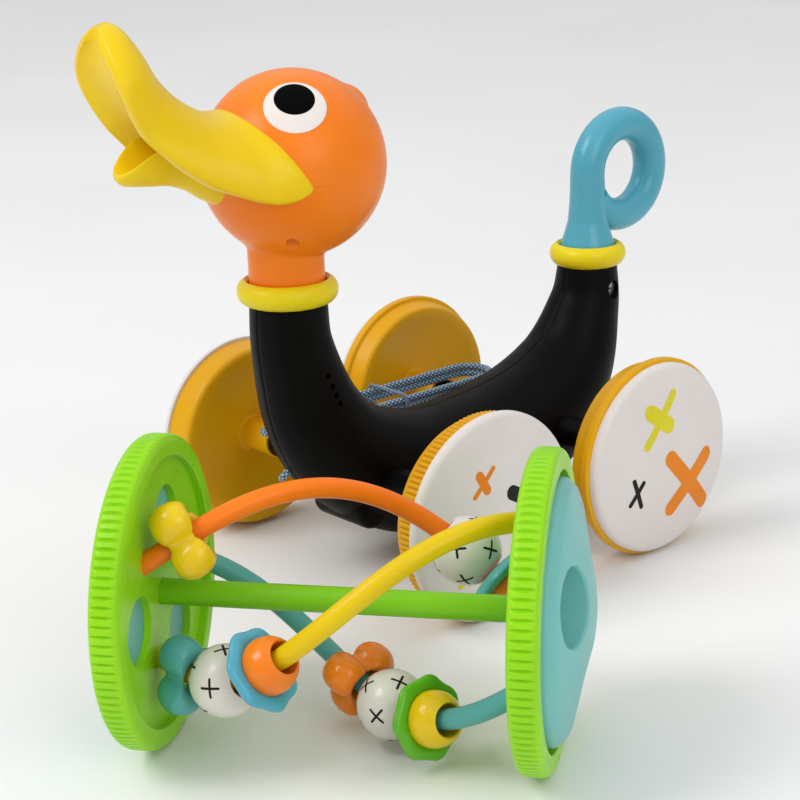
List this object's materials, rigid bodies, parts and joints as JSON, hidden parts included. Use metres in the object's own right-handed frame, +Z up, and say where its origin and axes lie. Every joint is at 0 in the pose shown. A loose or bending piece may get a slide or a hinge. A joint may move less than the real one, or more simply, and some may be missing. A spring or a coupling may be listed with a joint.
{
  "type": "pull-along toy duck",
  "caption": "Pull-along toy duck on ribbed wheels with a turning head, a curled tail, a pull cord and a loose rolling bead cage.",
  "frame": {"origin": "on the floor, under the middle of the box round the whole toy without its cord", "axes": "-Y is the way the duck faces, +X is the duck's left, +Z is up"},
  "size_m": [0.2699, 0.3444, 0.2128],
  "materials": {
    "black_plastic": "semi-gloss moulded",
    "orange_plastic": "semi-gloss moulded",
    "bill_yellow": "semi-gloss moulded",
    "white_plastic": "semi-gloss moulded",
    "wheel_yellow": "semi-gloss moulded",
    "tail_teal": "semi-gloss moulded",
    "inner_plastic": "moulded",
    "steel": "plain",
    "cord": "braided",
    "roller_green": "semi-gloss moulded",
    "cover_teal": "semi-gloss moulded",
    "bead_orange": "semi-gloss moulded",
    "bead_yellow": "semi-gloss moulded",
    "bead_teal": "semi-gloss moulded"
  },
  "bodies": {
    "duck": {"body_left": "black_plastic", "body_right": "black_plastic", "body_screws": "steel", "neck_collar": "bill_yellow", "tail_collar": "bill_yellow", "tail_curl": "tail_teal", "sound_unit": "inner_plastic", "cord_anchor": "cord", "pull_cord": "cord", "cord_hank": "cord", "cord_tie": "cord", "cord_end_knot": "cord"},
    "head": {"head_lower": "orange_plastic", "head_upper": "orange_plastic", "upper_bill": "bill_yellow", "lower_bill": "bill_yellow", "eye_whites": "white_plastic", "pupils": "black_plastic", "head_retainer": "inner_plastic", "neck_screw": "steel", "head_screws": "steel"},
    "front_wheels": {"front_axle": "steel", "sound_cam": "inner_plastic", "front_left_wheel": "wheel_yellow", "front_right_wheel": "wheel_yellow", "front_left_disc": "white_plastic", "front_right_disc": "white_plastic"},
    "rear_wheels": {"rear_axle": "steel", "rear_left_wheel": "wheel_yellow", "rear_right_wheel": "wheel_yellow", "rear_left_disc": "white_plastic", "rear_right_disc": "white_plastic"},
    "roller_core": {"roller_axle": "roller_green"},
    "roller_cage": {"roller_wheel_left": "roller_green", "roller_wheel_right": "roller_green", "hub_cover_left": "cover_teal", "hub_cover_right": "cover_teal", "orange_rod": "bead_orange", "yellow_rod": "bead_yellow", "teal_rod": "bead_teal"},
    "yellow_clover_bead": {"yellow_clover": "bead_yellow"},
    "upper_ball_bead": {"upper_ball": "white_plastic"},
    "teal_flower_bead": {"teal_flower": "bead_teal", "teal_flower_core": "bead_orange"},
    "teal_clover_bead": {"teal_clover": "bead_teal"},
    "front_ball_bead": {"front_ball": "white_plastic"},
    "blue_flower_bead": {"blue_flower": "tail_teal", "blue_flower_core": "bead_orange"},
    "orange_clover_bead": {"orange_clover": "bead_orange"},
    "lower_ball_bead": {"lower_ball": "white_plastic"},
    "green_flower_bead": {"green_flower": "roller_green", "green_flower_core": "bead_yellow"}
  },
  "joints": [
    {"name": "head_swivel", "type": "hinge", "parent": "duck", "child": "head", "pos_m": [-0.056, -0.026, 0.13], "axis": [0, 0, 1], "range_deg": [-35, 55]},
    {"name": "front_wheel_spin", "type": "hinge", "parent": "duck", "child": "front_wheels", "pos_m": [-0.056, 0.0035, 0.038], "axis": [1, 0, 0], "continuous": true},
    {"name": "rear_wheel_spin", "type": "hinge", "parent": "duck", "child": "rear_wheels", "pos_m": [-0.056, 0.0905, 0.038], "axis": [1, 0, 0], "continuous": true},
    {"name": "roller_travel", "type": "slide", "parent": "duck", "child": "roller_core", "axis": [0.6018, -0.7986, 0], "range_m": [0, 0.3]},
    {"name": "roller_spin", "type": "hinge", "parent": "roller_core", "child": "roller_cage", "pos_m": [0.0558, -0.0958, 0.04875], "axis": [0.7986, 0.6018, 0], "range_deg": [-1, 354]},
    {"name": "yellow_clover_slide", "type": "hinge", "parent": "roller_cage", "child": "yellow_clover_bead", "pos_m": [0.00808, -0.0944, 0.029], "axis": [-0.8528, 0.1592, 0.4974], "range_deg": [0, 38.5]},
    {"name": "upper_ball_slide", "type": "hinge", "parent": "roller_cage", "child": "upper_ball_bead", "pos_m": [0.092, -0.10514, 0.04524], "axis": [-0.6183, -0.2442, -0.7471], "range_deg": [-26.5, 0]},
    {"name": "teal_flower_slide", "type": "hinge", "parent": "roller_cage", "child": "teal_flower_bead", "pos_m": [0.10311, -0.09467, 0.06354], "axis": [-0.3791, -0.5386, -0.7525], "range_deg": [-27.2, 0]},
    {"name": "teal_clover_slide", "type": "hinge", "parent": "roller_cage", "child": "teal_clover_bead", "pos_m": [0.02472, -0.11648, 0.08446], "axis": [-0.0155, -0.9519, 0.3059], "range_deg": [0, 38.3]},
    {"name": "front_ball_slide", "type": "hinge", "parent": "roller_cage", "child": "front_ball_bead", "pos_m": [0.02614, -0.09319, 0.07448], "axis": [-0.2011, -0.7534, 0.6261], "range_deg": [0, 36.5]},
    {"name": "blue_flower_slide", "type": "hinge", "parent": "roller_cage", "child": "blue_flower_bead", "pos_m": [0.0344, -0.0751, 0.05506], "axis": [-0.4688, -0.4303, 0.7714], "range_deg": [0, 35.5]},
    {"name": "orange_clover_slide", "type": "hinge", "parent": "roller_cage", "child": "orange_clover_bead", "pos_m": [0.0637, -0.11702, 0.06945], "axis": [-0.1398, -0.8694, -0.4739], "range_deg": [-22.3, 13.2]},
    {"name": "lower_ball_slide", "type": "hinge", "parent": "roller_cage", "child": "lower_ball_bead", "pos_m": [0.06612, -0.09458, 0.07738], "axis": [-0.0567, -0.9903, -0.1268], "range_deg": [-22, 13]},
    {"name": "green_flower_slide", "type": "hinge", "parent": "roller_cage", "child": "green_flower_bead", "pos_m": [0.06784, -0.0675, 0.0744], "axis": [-0.0793, -0.9505, 0.3003], "range_deg": [-22.3, 13.2]}
  ],
  "couplings": [
    {"joint": "roller_spin", "follows": "roller_travel", "rad_per_m": 20.513},
    {"joint": "teal_flower_slide", "follows": "upper_ball_slide", "ratio": 1.0225},
    {"joint": "teal_clover_slide", "follows": "front_ball_slide", "ratio": 1.0475},
    {"joint": "blue_flower_slide", "follows": "front_ball_slide", "ratio": 0.9709},
    {"joint": "orange_clover_slide", "follows": "lower_ball_slide", "ratio": 1.0099},
    {"joint": "green_flower_slide", "follows": "lower_ball_slide", "ratio": 1.009}
  ]
}
